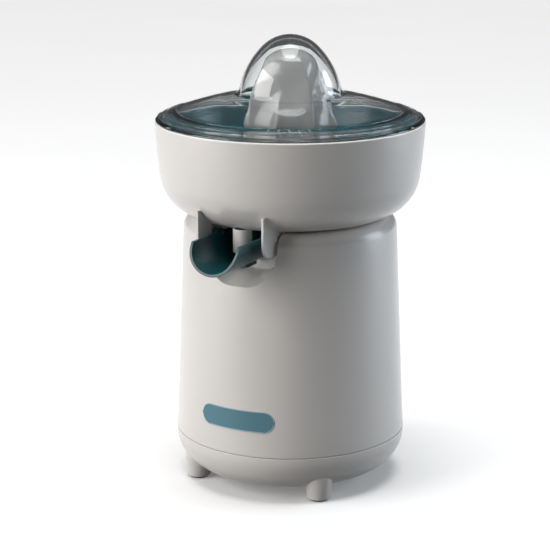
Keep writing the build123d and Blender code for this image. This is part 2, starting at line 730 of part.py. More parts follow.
with BuildPart() as gear_cover:
    low = PLATE_Z + PLATE_T
    with BuildSketch(Plane.XY.offset(low)):
        with Locations((0, BOX_Y)):
            Circle(BOX_R)
    extrude(amount=BOX_TOP_Z - low)
    fillet(gear_cover.faces().sort_by(Axis.Z)[-1].edges(), 2)
    with BuildSketch(Plane.XY.offset(low)):
        with Locations((0, BOX_Y)):
            Circle(BOX_R - 2.5)
    extrude(amount=BOX_TOP_Z - 2.5 - low, mode=Mode.SUBTRACT)
    with BuildSketch(Plane.XY.offset(low)):
        with Locations(*SCREW_SPOTS):
            Circle(3.6)
    extrude(amount=BOX_TOP_Z - low - 1)
    with BuildSketch(Plane.XY.offset(BOX_TOP_Z - 2.5)):
        Circle(10.5)
    extrude(amount=8.5)
    with BuildSketch(Plane.XY.offset(low)):
        Circle(7.5)
        with Locations((0, IDLER_Y)):
            Circle(2.45)
        with Locations(*SCREW_SPOTS):
            Circle(2.1)
    extrude(amount=50, mode=Mode.SUBTRACT)
save(gear_cover, "gear_cover")

with BuildPart() as gear_screws:
    with BuildSketch(Plane.XY.offset(PLATE_Z - 2.6)):
        with Locations(*SCREW_SPOTS):
            Circle(3.6)
    extrude(amount=2.6)
    with BuildSketch(Plane.XY.offset(PLATE_Z)):
        with Locations(*SCREW_SPOTS):
            Circle(1.9)
    extrude(amount=44)
save(gear_screws, "gear_screws")

with BuildPart() as spindle_bushes:
    for low, high in ((BOX_TOP_Z - 3.5, BOX_TOP_Z + 6), (HUB_SEAT_Z, HUB_SEAT_Z + 5.5)):
        with BuildSketch(Plane.XY.offset(low)):
            Circle(BUSH_R)
            Circle(SPINDLE_R + RUNNING, mode=Mode.SUBTRACT)
        extrude(amount=high - low)
save(spindle_bushes, "spindle_bushes")

with BuildPart() as spindle_seal:
    with BuildSketch(Plane.XZ):
        with BuildLine():
            Polyline((4.3, 213.2), (4.3, 214.4), (6.4, 215.4), (7.5, 215.0), (7.5, 211.6), (5.6, 211.6),
                     close=True)
        make_face()
    revolve(axis=Axis.Z)
save(spindle_seal, "spindle_seal")

with BuildPart() as drive_spindle:
    with BuildSketch(Plane.XY.offset(CUP_FLOOR_Z)):
        Circle(SPINDLE_R)
    extrude(amount=218 - CUP_FLOOR_Z)
    with BuildSketch(Plane.XY.offset(218)):
        RegularPolygon(HEX_AF / 2, 6, major_radius=False)
    extrude(amount=SPINDLE_TOP_Z - 218)
    chamfer(drive_spindle.faces().sort_by(Axis.Z)[-1].edges(), 0.5)
save(drive_spindle, "drive_spindle")

with BuildPart() as thrust_cup:
    with BuildSketch(Plane.XY.offset(112)):
        Circle(7)
    extrude(amount=12)
    with BuildSketch(Plane.XY.offset(112)):
        Circle(10)
    extrude(amount=2)
    with BuildSketch(Plane.XY.offset(CUP_FLOOR_Z)):
        Circle(SPINDLE_R + RUNNING)
    extrude(amount=10, mode=Mode.SUBTRACT)
save(thrust_cup, "thrust_cup")

SPRING_LOW_Z = 98.0
SPRING_HIGH_Z = 112.0
WIRE_R = 0.45
with BuildPart() as return_spring:
    with BuildLine():
        coil = Helix(pitch=2.2, height=SPRING_HIGH_Z - SPRING_LOW_Z - 2 * WIRE_R - 0.1, radius=4.6,
                     center=(0, 0, SPRING_LOW_Z + WIRE_R + 0.05))
    with BuildSketch(Plane(origin=coil @ 0, z_dir=coil % 0)):
        Circle(WIRE_R)
    sweep(is_frenet=True)
save(return_spring, "return_spring")

with BuildPart() as spring_bridge:
    with BuildSketch(Plane.XY.offset(SPRING_LOW_Z - 2)):
        with Locations((3.75, 0)):
            RectangleRounded(20.5, 24, 2)
        with Locations((BRIDGE_POSTS[0][0], 0)):
            RectangleRounded(6, 42, 2)
    extrude(amount=2)
    with BuildSketch(Plane.XY.offset(SPRING_LOW_Z)):
        with Locations(*BRIDGE_POSTS):
            Circle(2.8)
    extrude(amount=PLATE_Z - SPRING_LOW_Z)
    with BuildSketch(Plane.XY.offset(PLATE_Z)):
        with Locations(*BRIDGE_POSTS):
            Circle(1.9)
    extrude(amount=PLATE_T)
save(spring_bridge, "spring_bridge")

SWITCH_X = 9.0
PLUNGER_R = 1.2
with BuildPart() as micro_switch:
    with BuildSketch(Plane.XY.offset(SPRING_LOW_Z)):
        with Locations((SWITCH_X, 0)):
            Rectangle(6.4, 19.8)
    extrude(amount=9.6)
    fillet(micro_switch.edges().filter_by(Axis.Z), 0.6)
    with BuildSketch(Plane.XY.offset(101)):
        with Locations((SWITCH_X, 0)):
            Circle(PLUNGER_R + RUNNING)
    extrude(amount=10, mode=Mode.SUBTRACT)
    with BuildSketch(Plane.YZ.offset(SWITCH_X - 4)):
        with Locations((-6.5, 101), (6.5, 101)):
            Circle(1.1)
    extrude(amount=8, mode=Mode.SUBTRACT)
save(micro_switch, "micro_switch")

with BuildPart() as switch_plunger:
    with BuildSketch(Plane.XY.offset(104)):
        with Locations((SWITCH_X, 0)):
            Circle(PLUNGER_R)
    extrude(amount=8)
save(switch_plunger, "switch_plunger")

# ---- motor --------------------------------------------------------------------------------------
CORE_LOW_Z = 62.0
CORE_HIGH_Z = 88.0
CORE_W = 52.0
ROTOR_R = 15.6
SHAFT_R = 3.0
LIMB_Y = (-40.0, -28.0)

with BuildPart() as stator_core:
    with BuildSketch(Plane.XY.offset(CORE_LOW_Z)):
        with Locations((MOTOR_X, 0)):
            Rectangle(CORE_W, 80)
        with Locations((MOTOR_X, -19)):
            Rectangle(CORE_W - 16, 18, mode=Mode.SUBTRACT)
        with Locations((MOTOR_X, MOTOR_Y)):
            Circle(ROTOR_R + 0.4, mode=Mode.SUBTRACT)
        with Locations(*POSTS):
            Circle(2.0, mode=Mode.SUBTRACT)
    extrude(amount=CORE_HIGH_Z - CORE_LOW_Z)
save(stator_core, "stator_core")

with BuildPart() as motor_coil:
    with BuildSketch(Plane.YZ.offset(MOTOR_X - 17)):
        with Locations(((LIMB_Y[0] + LIMB_Y[1]) / 2, (CORE_LOW_Z + CORE_HIGH_Z) / 2)):
            RectangleRounded(30, 44, 6)
            Rectangle(12.2, CORE_HIGH_Z - CORE_LOW_Z + 0.2, mode=Mode.SUBTRACT)
    extrude(amount=34)
save(motor_coil, "motor_coil")

with BuildPart() as rotor_core:
    with BuildSketch(Plane.XY.offset(CORE_LOW_Z)):
        with Locations((MOTOR_X, MOTOR_Y)):
            Circle(ROTOR_R)
            Circle(SHAFT_R, mode=Mode.SUBTRACT)
    extrude(amount=CORE_HIGH_Z - CORE_LOW_Z)
    with BuildSketch(Plane.XY.offset(CORE_LOW_Z - 2.5)):
        with Locations((MOTOR_X, MOTOR_Y)):
            Circle(13.6)
            Circle(SHAFT_R, mode=Mode.SUBTRACT)
    extrude(amount=CORE_HIGH_Z - CORE_LOW_Z + 5)
save(rotor_core, "rotor_core")

with BuildPart() as motor_shaft:
    with BuildSketch(Plane.XY.offset(40)):
        with Locations((MOTOR_X, MOTOR_Y)):
            Circle(SHAFT_R)
    extrude(amount=IDLER_LOW_Z - 1.5 - 40)
    with BuildSketch(Plane.XY.offset(IDLER_LOW_Z - 1.5)):
        with Locations((MOTOR_X, MOTOR_Y)):
            Circle(2.0)
    extrude(amount=9.5)
save(motor_shaft, "motor_shaft")


def bracket(plate_low, plate_high, leg_low, leg_high):
    """Motor end bracket: a strap with two legs and a hole for the bush."""
    with BuildPart() as piece:
        with BuildSketch(Plane.XY.offset(plate_low)):
            with Locations((MOTOR_X, MOTOR_Y)):
                RectangleRounded(20, 52, 3)
        extrude(amount=plate_high - plate_low)
        with BuildSketch(Plane.XY.offset(leg_low)):
            with Locations(*POSTS):
                Rectangle(20, 7)
        extrude(amount=leg_high - leg_low)
        with BuildSketch(Plane.XY.offset(min(plate_low, leg_low))):
            with Locations((MOTOR_X, MOTOR_Y)):
                Circle(5.5)
            with Locations(*POSTS):
                Circle(2.0)
        extrude(amount=20, mode=Mode.SUBTRACT)
    return piece


lower_bracket = bracket(51.5, 54, 54, CORE_LOW_Z)
save(lower_bracket, "lower_bracket")
upper_bracket = bracket(95.5, 98, CORE_HIGH_Z, 95.5)
save(upper_bracket, "upper_bracket")

with BuildPart() as motor_bushes:
    for low in (50.8, 94):
        with BuildSketch(Plane.XY.offset(low)):
            with Locations((MOTOR_X, MOTOR_Y)):
                Circle(5.5)
                Circle(SHAFT_R + RUNNING, mode=Mode.SUBTRACT)
        extrude(amount=5)
save(motor_bushes, "motor_bushes")

with BuildPart() as motor_bolts:
    with BuildSketch(Plane.XY.offset(48.8)):
        with Locations(*POSTS):
            Circle(3.4)
    extrude(amount=2.7)
    with BuildSketch(Plane.XY.offset(51.5)):
        with Locations(*POSTS):
            Circle(1.9)
    extrude(amount=54)
save(motor_bolts, "motor_bolts")

with BuildPart() as motor_posts:
    with BuildSketch(Plane.XY.offset(98)):
        with Locations(*POSTS):
            RegularPolygon(3.6, 6, major_radius=False)
    extrude(amount=PLATE_Z - 98)
    with BuildSketch(Plane.XY.offset(98)):
        with Locations(*POSTS):
            Circle(1.9)
    extrude(amount=9, mode=Mode.SUBTRACT)
    with BuildSketch(Plane.XY.offset(PLATE_Z)):
        with Locations(*POSTS):
            Circle(1.9)
    extrude(amount=PLATE_T)
save(motor_posts, "motor_posts")

FAN_Z = 40.0
with BuildPart() as cooling_fan:
    with BuildSketch(Plane.XY.offset(FAN_Z)):
        with Locations((MOTOR_X, MOTOR_Y)):
            Circle(21)
            Circle(SHAFT_R, mode=Mode.SUBTRACT)
    extrude(amount=1.5)
    with BuildSketch(Plane.XY.offset(FAN_Z)):
        with Locations((MOTOR_X, MOTOR_Y)):
            Circle(6)
            Circle(SHAFT_R, mode=Mode.SUBTRACT)
    extrude(amount=8)
    with BuildSketch(Plane.XY.offset(FAN_Z + 1)):
        with Locations((MOTOR_X, MOTOR_Y)):
            with PolarLocations(13.5, 9):
                Rectangle(15, 1.4, rotation=20)
    extrude(amount=6)
save(cooling_fan, "cooling_fan")
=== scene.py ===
"""Electric citrus press: the visible shells, covers and loose parts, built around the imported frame."""
from math import asin, atan2, ceil, cos, degrees, pi, radians, sin, sqrt

import bmesh
import bpy
from bpy.props import FloatProperty, FloatVectorProperty, IntProperty, PointerProperty
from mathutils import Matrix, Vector


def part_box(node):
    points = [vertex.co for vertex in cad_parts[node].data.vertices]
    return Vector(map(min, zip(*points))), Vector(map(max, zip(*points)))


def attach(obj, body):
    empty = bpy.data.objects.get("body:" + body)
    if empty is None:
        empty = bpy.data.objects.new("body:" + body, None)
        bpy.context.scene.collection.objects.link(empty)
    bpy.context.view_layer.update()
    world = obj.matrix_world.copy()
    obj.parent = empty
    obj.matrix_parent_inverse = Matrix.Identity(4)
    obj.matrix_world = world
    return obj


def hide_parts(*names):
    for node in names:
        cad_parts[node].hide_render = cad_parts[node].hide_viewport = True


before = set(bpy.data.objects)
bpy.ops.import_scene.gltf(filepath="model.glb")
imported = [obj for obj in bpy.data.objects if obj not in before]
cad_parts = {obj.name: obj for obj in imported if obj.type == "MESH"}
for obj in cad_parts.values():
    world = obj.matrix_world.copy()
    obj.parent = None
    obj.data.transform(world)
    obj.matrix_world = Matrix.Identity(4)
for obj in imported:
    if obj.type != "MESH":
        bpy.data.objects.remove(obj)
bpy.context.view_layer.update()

bl_info = {
    "name": "Citrus Press",
    "version": (1, 0, 0),
    "blender": (4, 5, 0),
    "location": "3D View > Sidebar > Citrus Press",
    "description": "Builds the shells, loose parts and finishes of an electric citrus press",
    "category": "Add Mesh",
}

MM = 0.001


def box(node):
    """Lowest and highest corner of a frame node, in millimetres."""
    low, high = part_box(node)
    return low / MM, high / MM


BODY_LOW, BODY_HIGH = box("body_shell")
BASE_HIGH = box("base_cover")[1]
BOWL_LOW, BOWL_HIGH = box("bowl")
LID_LOW, LID_HIGH = box("lid")
CONE_LOW, CONE_HIGH = box("cone")
STRAINER_LOW, STRAINER_HIGH = box("strainer")
SPOUT_LOW, SPOUT_HIGH = box("spout")
BADGE_LOW, BADGE_HIGH = box("badge")
PAD_LOW, PAD_HIGH = box("foot_pads")

TAPER = 6.5             # how much narrower the body is at its shoulder than at its foot
FOOT_CIRCLE = 65.7      # radius of the circle that the feet stand on
BAY_MOUTH = 80.0        # distances of the spout's bay in front of the axis: its widest opening,
BAY_NECK = 58.0         # where it stops widening,
BAY_BACK = 46.0         # and its back wall
HUB = 14.5              # radius of the hub on the deck
GAP = 0.4               # between the deck and the bowl
ROUND_PARTS = 64        # facets round small turned pieces

MATERIALS = {}


# ---- sizes and colours --------------------------------------------------------------------------
def length(name, description, default):
    """A size in millimetres."""
    return FloatProperty(name=name, description=description, default=default, min=0.0)


def colour(name, description, default):
    return FloatVectorProperty(name=name, description=description, default=default, size=4,
                               subtype="COLOR", min=0.0, max=1.0)


class PressSizes(bpy.types.PropertyGroup):
    steps: IntProperty(name="Steps round", description="Facets round every turned piece", default=192, min=48)
    wall: length("Body wall", "Thickness of the body's wall, mm", 2.5)
    deck: length("Deck", "Height of the body's flat top, mm", 182.0)
    shoulder: length("Shoulder", "Rounding at the top of the body, mm", 8.6)
    base_round: length("Base rounding", "Rounding of the base cover, mm", 24.3)
    bowl_round: length("Bowl rounding", "Rounding at the bottom of the bowl, mm", 29.5)
    cheek: length("Cheek", "Thickness of the two cheeks that carry the spout, mm", 1.6)
    dome: length("Dome", "Radius of the lid's crown, mm", 26.0)
    bowl_wall: length("Bowl wall", "Thickness of the bowl's wall, mm", 2.2)
    lid_wall: length("Lid wall", "Thickness of the lid, mm", 2.2)
    spout_wall: length("Spout wall", "Thickness of the spout, mm", 1.8)
    strainer_wall: length("Strainer wall", "Thickness of the strainer, mm", 1.8)
    slots: IntProperty(name="Slots", description="Number of strainer slots", default=40, min=4)
    flute: FloatProperty(name="Flute", default=0.29, min=0.0, max=0.6,
                         description="Depth of the flutes between tall ribs, as a share of the radius")


class PressColours(bpy.types.PropertyGroup):
    shell: colour("Shell", "Body, base cover and bowl", (0.745, 0.718, 0.69, 1))
    teal: colour("Teal", "Strainer and spout", (0.010, 0.066, 0.080, 1))
    reamer: colour("Reamer", "Cone", (0.24, 0.237, 0.23, 1))
    badge: colour("Badge", "Front plate", (0.06, 0.20, 0.26, 1))
    # Lighter teal for the front plate's rounded rim: a painted edge highlight, not a frame of its own
    badge_edge_highlight: colour("Badge edge highlight", "Painted edge highlight on the rim of the front plate", (0.30, 0.48, 0.54, 1))
    rubber: colour("Rubber", "Foot pads, gland and seal", (0.018, 0.018, 0.02, 1))
    steel: colour("Steel", "Shafts, screws and brackets", (0.56, 0.56, 0.57, 1))
    copper: colour("Copper", "Winding", (0.48, 0.17, 0.06, 1))
    bronze: colour("Bronze", "Bushes", (0.45, 0.30, 0.14, 1))
    acetal: colour("Acetal", "Gears and cup", (0.68, 0.66, 0.58, 1))
    black: colour("Black", "Gearbox and fan", (0.02, 0.02, 0.022, 1))
    lamination: colour("Lamination", "Stacked core sheets", (0.16, 0.16, 0.17, 1))


def sizes():
    return bpy.context.scene.press_sizes


def colours():
    return bpy.context.scene.press_colours


# ---- shader expressions -------------------------------------------------------------------------
class Term:
    """A shader socket. Arithmetic on it adds Math nodes to its material."""

    def __init__(self, finish, socket):
        self.finish = finish
        self.socket = socket

    def maths(self, operation, *values):
        return self.finish.node("ShaderNodeMath", {"operation": operation}, dict(enumerate(values)))

    def __add__(self, other):
        return self.maths("ADD", self, other)

    def __sub__(self, other):
        return self.maths("SUBTRACT", self, other)

    def __mul__(self, other):
        return self.maths("MULTIPLY", self, other)

    __radd__ = __add__
    __rmul__ = __mul__

    def ramp(self, low, high):
        """0 below low, 1 above high, smooth between."""
        return self.finish.node("ShaderNodeMapRange", {"interpolation_type": "SMOOTHSTEP"},
                                {"Value": self, "From Min": low, "From Max": high})


class Finish:
    """A material made in code: one Principled shader and the nodes that feed it."""

    def __init__(self, name, constants):
        self.material = bpy.data.materials.new(name)
        self.material.use_nodes = True
        self.tree = self.material.node_tree
        self.shader = self.tree.nodes["Principled BSDF"]
        for socket, value in constants.items():
            self.shader.inputs[socket].default_value = value
        self.place = self.node("ShaderNodeTexCoord", {}, {}, "Object")

    def plug(self, socket, value):
        if isinstance(value, Term):
            self.tree.links.new(value.socket, socket)
        else:
            socket.default_value = value

    def node(self, kind, settings, sockets, output=0):
        """Adds a node: its settings first, then the values or links of its sockets."""
        node = self.tree.nodes.new(kind)
        for key, value in settings.items():
            setattr(node, key, value)
        for key, value in sockets.items():
            self.plug(node.inputs[key], value)
        return Term(self, node.outputs[output])

    def feed(self, socket, value):
        self.plug(self.shader.inputs[socket], value)

    def noise(self, per_metre, detail=3.0, roughness=0.5, stretch=(1, 1, 1)):
        """Noise from 0 to 1 with a number of cells to the metre."""
        place = self.node("ShaderNodeVectorMath", {"operation": "MULTIPLY"}, {0: self.place, 1: stretch})
        return self.node("ShaderNodeTexNoise", {}, {"Vector": place, "Scale": per_metre, "Detail": detail,
                                                    "Roughness": roughness})

    def mix(self, share, first, second):
        """Colour between two colours."""
        return self.node("ShaderNodeMix", {"data_type": "RGBA"}, {0: share, 6: first, 7: second}, 2)

    def bump(self, height, distance, soft_edge=0.0):
        """Feeds a height, in units of distance in metres, to the surface's normal. Edges look rounded by
        soft_edge, in metres."""
        sockets = {"Height": height, "Distance": distance}
        if soft_edge:
            sockets["Normal"] = self.node("ShaderNodeBevel", {"samples": 8}, {"Radius": soft_edge})
        self.feed("Normal", self.node("ShaderNodeBump", {}, sockets))


    def let_light_through(self, tint):
        """Lights shine straight through the material instead of being stopped by its refraction."""
        clear = self.node("ShaderNodeBsdfTransparent", {}, {"Color": tint})
        shadow = self.node("ShaderNodeLightPath", {}, {}, "Is Shadow Ray")
        shader = Term(self, self.shader.outputs["BSDF"])
        both = self.node("ShaderNodeMixShader", {}, {0: shadow, 1: shader, 2: clear})
        self.plug(self.tree.nodes["Material Output"].inputs["Surface"], both)


def shade(tint, factor):
    """A colour made lighter or darker."""
    return tuple(min(1.0, part * factor) for part in tint[:3]) + (1.0,)


def moulded(name, tint, roughness, grain, constants=None, soft_edge=0.0):
    """Moulded plastic: faint flow marks, a fine grain, and small wear and handling marks."""
    finish = Finish(name, {"Specular IOR Level": 0.5, **(constants or {})})
    flow = finish.noise(14, 2.0, 0.45, (1, 1, 0.35))
    cloud = finish.noise(55, 4.0, 0.6)
    speck = finish.noise(2300, 1.0).ramp(0.68, 0.78)
    smudge = finish.noise(38, 5.0, 0.65).ramp(0.5, 0.72)
    tone = flow * 0.6 + cloud * 0.4
    base = finish.mix(tone, shade(tint, 0.985), shade(tint, 1.012))
    finish.feed("Base Color", finish.mix(speck * 0.08, base, shade(tint, 0.75)))
    finish.feed("Roughness", roughness + smudge * 0.02 + speck * 0.03 - cloud * 0.01)
    peel = finish.noise(420, 2.0, 0.5)
    fine = finish.noise(3200, 2.0, 0.6)
    finish.bump(peel * 0.4 + fine * 0.6, grain, soft_edge)
    return finish.material


def clear_plastic(name):
    """Clear moulded plastic with hairline scratches and faint smudges."""
    finish = Finish(name, {"Base Color": (0.97, 0.985, 0.99, 1), "Transmission Weight": 1.0, "IOR": 1.49})
    scratch = finish.noise(260, 6.0, 0.8, (1, 9, 1)).ramp(0.66, 0.7)
    across = finish.noise(240, 6.0, 0.8, (9, 1, 2)).ramp(0.67, 0.71)
    smudge = finish.noise(45, 3.0).ramp(0.5, 0.8)
    finish.feed("Roughness", smudge * 0.02 + scratch * 0.03 + across * 0.03)
    finish.bump(finish.noise(60, 1.0) + scratch * 0.03 + across * 0.03, 0.00001)
    finish.let_light_through((0.9, 0.91, 0.92, 1))
    return finish.material


def rubber(name, tint):
    finish = Finish(name, {"Specular IOR Level": 0.35})
    dust = finish.noise(160, 5.0, 0.7).ramp(0.48, 0.75)
    finish.feed("Base Color", finish.mix(dust * 0.35, shade(tint, 1), shade(tint, 3.2)))
    finish.feed("Roughness", 0.72 + dust * 0.18)
    finish.bump(finish.noise(2600, 3.0, 0.6), 0.00005)
    return finish.material


def turned_metal(name, tint, roughness, stretch):
    """Machined metal: fine tool marks, worn bright and dull by turns."""
    finish = Finish(name, {"Metallic": 1.0})
    marks = finish.noise(1500, 4.0, 0.7, stretch)
    stain = finish.noise(120, 4.0, 0.6).ramp(0.42, 0.75)
    finish.feed("Base Color", finish.mix(stain * 0.5, shade(tint, 1.05), shade(tint, 0.72)))
    finish.feed("Roughness", roughness + marks * 0.16 + stain * 0.12)
    finish.bump(marks, 0.00002)
    return finish.material


def stacked_sheet(name, tint, pitch):
    """Laminated core: thin sheets seen on edge, with oxide between them."""
    finish = Finish(name, {"Metallic": 0.85})
    wave = finish.node("ShaderNodeTexWave", {"bands_direction": "Z"},
                       {"Vector": finish.place, "Scale": 0.314 / pitch, "Distortion": 0.4})
    edge = wave.ramp(0.25, 0.8)
    rust = finish.noise(240, 5.0, 0.7).ramp(0.55, 0.8)
    base = finish.mix(edge, shade(tint, 0.45), shade(tint, 1.2))
    finish.feed("Base Color", finish.mix(rust * 0.4, base, (0.11, 0.045, 0.02, 1)))
    finish.feed("Roughness", 0.36 + rust * 0.3)
    finish.bump(edge, 0.0001)
    return finish.material


def winding(name, tint, wire):
    """Layered enamelled wire."""
    finish = Finish(name, {"Metallic": 0.7, "Coat Roughness": 0.12, "Coat Weight": 0.5})
    wave = finish.node("ShaderNodeTexWave", {"bands_direction": "X"},
                       {"Vector": finish.place, "Scale": 0.314 / wire, "Distortion": 1.2})
    turn = wave.ramp(0.1, 0.9)
    finish.feed("Base Color", finish.mix(turn, shade(tint, 0.35), shade(tint, 1.1)))
    finish.feed("Roughness", 0.3 + finish.noise(300) * 0.15)
    finish.bump(turn, 0.0003)
    return finish.material


# ---- mesh making --------------------------------------------------------------------------------
def rounded(points):
    """Outline points from corners (r, z, rounding): each rounded corner becomes an arc."""
    out = []
    count = len(points)
    for i, corner in enumerate(points):
        here = Vector(corner[:2])
        radius = corner[2] if len(corner) > 2 else 0
        if not radius:
            out.append(here)
            continue
        before = (Vector(points[i - 1][:2]) - here).normalized()
        after = (Vector(points[(i + 1) % count][:2]) - here).normalized()
        half = before.angle(after) / 2
        reach = radius / abs(sin(half) / cos(half))
        centre = here + (before + after).normalized() * (radius / sin(half))
        start = here + before * reach - centre
        end = here + after * reach - centre
        sweep = start.angle_signed(end)
        turns = max(2, ceil(abs(sweep) / radians(9)))
        base = atan2(start.y, start.x)
        for k in range(turns + 1):
            angle = base - sweep * k / turns
            out.append(centre + Vector((cos(angle), sin(angle))) * radius)
    return out


def arc(centre, radius, start, end, step=4):
    """Points on an arc in an outline, angles in degrees from +r."""
    turns = max(2, ceil(abs(end - start) / step))
    return [(centre[0] + radius * cos(radians(start + (end - start) * k / turns)),
             centre[1] + radius * sin(radians(start + (end - start) * k / turns))) for k in range(turns + 1)]


def circle_through(a, b, c):
    """Centre and radius of the circle through three points of an outline."""
    ax, ay, bx, by, cx, cy = *a, *b, *c
    a2, b2, c2 = ax ** 2 + ay ** 2, bx ** 2 + by ** 2, cx ** 2 + cy ** 2
    twice = 2 * (ax * (by - cy) + bx * (cy - ay) + cx * (ay - by))
    centre = Vector(((a2 * (by - cy) + b2 * (cy - ay) + c2 * (ay - by)) / twice,
                     (a2 * (cx - bx) + b2 * (ax - cx) + c2 * (bx - ax)) / twice))
    return centre, (Vector(a) - centre).length


def ease(value, low, high):
    """0 below low, 1 above high, smooth between."""
    share = min(1.0, max(0.0, (value - low) / (high - low)))
    return share * share * (3 - 2 * share)


def divided(points, longest):
    """Outline points with long straight runs split."""
    out = []
    for i, here in enumerate(points):
        here = Vector(here[:2])
        there = Vector(points[(i + 1) % len(points)][:2])
        parts = max(1, ceil((there - here).length / longest))
        out += [here.lerp(there, k / parts) for k in range(parts)]
    return out


def new_piece(name, verts, faces):
    """Mesh object from points in millimetres."""
    mesh = bpy.data.meshes.new(name)
    mesh.from_pydata([Vector(v) * MM for v in verts], [], faces)
    work = bmesh.new()
    work.from_mesh(mesh)
    bmesh.ops.remove_doubles(work, verts=work.verts, dist=1e-6)
    bmesh.ops.recalc_face_normals(work, faces=work.faces)
    work.to_mesh(mesh)
    work.free()
    mesh.validate()
    obj = bpy.data.objects.new(name, mesh)
    bpy.context.collection.objects.link(obj)
    return obj


def lathe(name, outline, steps=None, spot=(0, 0)):
    """Closed outline (r, z) turned round a vertical axis at spot."""
    steps = steps or sizes().steps
    rows = len(outline)
    verts = []
    for k in range(steps):
        angle = 2 * pi * k / steps
        for r, z in outline:
            verts.append((spot[0] + r * cos(angle), spot[1] + r * sin(angle), z))
    faces = []
    for k in range(steps):
        a, b = k * rows, ((k + 1) % steps) * rows
        for i in range(rows):
            j = (i + 1) % rows
            on_axis = outline[i][0] < 1e-6 and outline[j][0] < 1e-6
            if not on_axis:
                faces.append((a + i, b + i, b + j, a + j))
    return new_piece(name, verts, faces)


def prism(name, outline, low, high, to_world):
    """Closed outline (u, v) pushed from low to high; to_world places a point (u, v, w)."""
    count = len(outline)
    verts = [to_world(u, v, w) for w in (low, high) for u, v in outline]
    faces = [tuple(range(count)), tuple(range(count, 2 * count))]
    faces += [(i, (i + 1) % count, count + (i + 1) % count, count + i) for i in range(count)]
    return new_piece(name, verts, faces)


def from_above(u, v, w):
    return (u, v, w)


def from_front(u, v, w):
    """u to the right, v up, w out to the front."""
    return (u, -w, v)


def from_side(u, v, w):
    """u out to the front, v up, w to the right."""
    return (w, -u, v)


def applied(obj):
    """Bakes the modifiers of a piece into its mesh."""
    graph = bpy.context.evaluated_depsgraph_get()
    mesh = bpy.data.meshes.new_from_object(obj.evaluated_get(graph))
    obj.modifiers.clear()
    old = obj.data
    obj.data = mesh
    bpy.data.meshes.remove(old)
    return obj


def combine(obj, other, operation):
    """Exact boolean of two pieces; the other piece is used up."""
    modifier = obj.modifiers.new("combine", "BOOLEAN")
    modifier.operation = operation
    modifier.solver = "EXACT"
    modifier.object = other
    applied(obj)
    bpy.data.objects.remove(other)
    return obj


def soften(obj, width, segments=3, angle=32):
    """Small roundings on the sharp edges, then smooth shading."""
    modifier = obj.modifiers.new("soften", "BEVEL")
    modifier.width = width * MM
    modifier.segments = segments
    modifier.limit_method = "ANGLE"
    modifier.angle_limit = radians(angle)
    modifier.harden_normals = True
    modifier.use_clamp_overlap = True
    for face in obj.data.polygons:
        face.use_smooth = True
    applied(obj)
    return obj


def smooth(obj, angle=35):
    """Smooth shading that keeps edges sharper than an angle."""
    for face in obj.data.polygons:
        face.use_smooth = True
    obj.data.set_sharp_from_angle(angle=radians(angle))
    return obj


def join(name, pieces):
    """One object of several separate closed solids."""
    work = bmesh.new()
    for piece in pieces:
        work.from_mesh(piece.data)
    mesh = bpy.data.meshes.new(name)
    work.to_mesh(mesh)
    work.free()
    for piece in pieces:
        bpy.data.objects.remove(piece)
    obj = bpy.data.objects.new(name, mesh)
    bpy.context.collection.objects.link(obj)
    return obj


def settle(obj, body, slot, material, *nodes):
    """Gives a piece its finish, its body and the frame nodes it stands for."""
    obj.data.materials.clear()
    obj.data.materials.append(material)
    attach(obj, body)
    if nodes:
        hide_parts(*nodes)
    return obj


# ---- the pieces ---------------------------------------------------------------------------------
def bay_section(front, grow):
    """U-shaped outline (x, z) of the spout's bay, at a distance in front of the axis."""
    share = max(0.0, (front - BAY_NECK) / (BAY_MOUTH - BAY_NECK))
    half = 26.2 + 0.6 * share + grow
    bottom = 153.2 - 9.3 * share - grow
    corner = 22.0 - 2.0 * share + grow
    top = sizes().deck + 12
    right = arc((half - corner, bottom + corner), corner, -90, 0, 5)
    left = arc((corner - half, bottom + corner), corner, -180, -90, 5)
    return [(-half, top)] + left + right + [(half, top)]


def bay_solid(name, grow, mouth, back):
    """The bay as a solid: a scoop from its mouth to the neck, then straight to its back wall."""
    stations = [mouth, BAY_NECK, back]
    rings = [bay_section(f, grow) for f in stations]
    count = len(rings[0])
    verts = [(x, -f, z) for f, ring in zip(stations, rings) for x, z in ring]
    faces = [tuple(range(count)), tuple(range(2 * count, 3 * count))]
    for k in (0, count):
        faces += [(k + i, k + (i + 1) % count, k + count + (i + 1) % count, k + count + i)
                  for i in range(count)]
    return new_piece(name, verts, faces)


class PRESS_OT_body(bpy.types.Operator):
    """Body shell with the bay for the spout, and the hub on its deck"""
    bl_idname = "press.body"
    bl_label = "Body shell"

    def execute(self, context):
        size = sizes()
        wall = size.wall
        foot_r = BODY_HIGH.x
        top_r = foot_r - TAPER
        seam = BODY_LOW.z
        deck = size.deck
        hub = BODY_HIGH.z
        outline = rounded([
            (foot_r, seam, 0.3), (top_r, deck, size.shoulder), (HUB, deck, 1.2), (HUB, hub, 1.5),
            (7.5, hub, 0.3), (7.5, hub - 8), (11.5, hub - 8), (11.5, deck - wall),
            (top_r - wall, deck - wall, 4.0), (foot_r - wall, seam)])
        shell = lathe("body_shell_skin", divided(outline, 16))
        lining = 2.2
        block = bay_solid("bay_block", lining, BAY_MOUTH - 6, BAY_BACK - lining)
        envelope = lathe("bay_envelope", [(0, deck - 1.2), (top_r - 4, deck - 1.2), (top_r - 1.2, deck - 5),
                                          (foot_r - 1.2, seam), (0, seam)])
        combine(block, envelope, "INTERSECT")
        combine(shell, block, "UNION")
        combine(shell, bay_solid("bay_space", 0, BAY_MOUTH, BAY_BACK), "DIFFERENCE")
        soften(shell, 0.55, 3)
        settle(shell, "housing", "white", MATERIALS["shell"], "body_shell")
        return {"FINISHED"}


def foot_spots():
    """The four places of the feet."""
    turns = [radians(45 + 90 * k) for k in range(4)]
    return [(FOOT_CIRCLE * cos(turn), FOOT_CIRCLE * sin(turn)) for turn in turns]


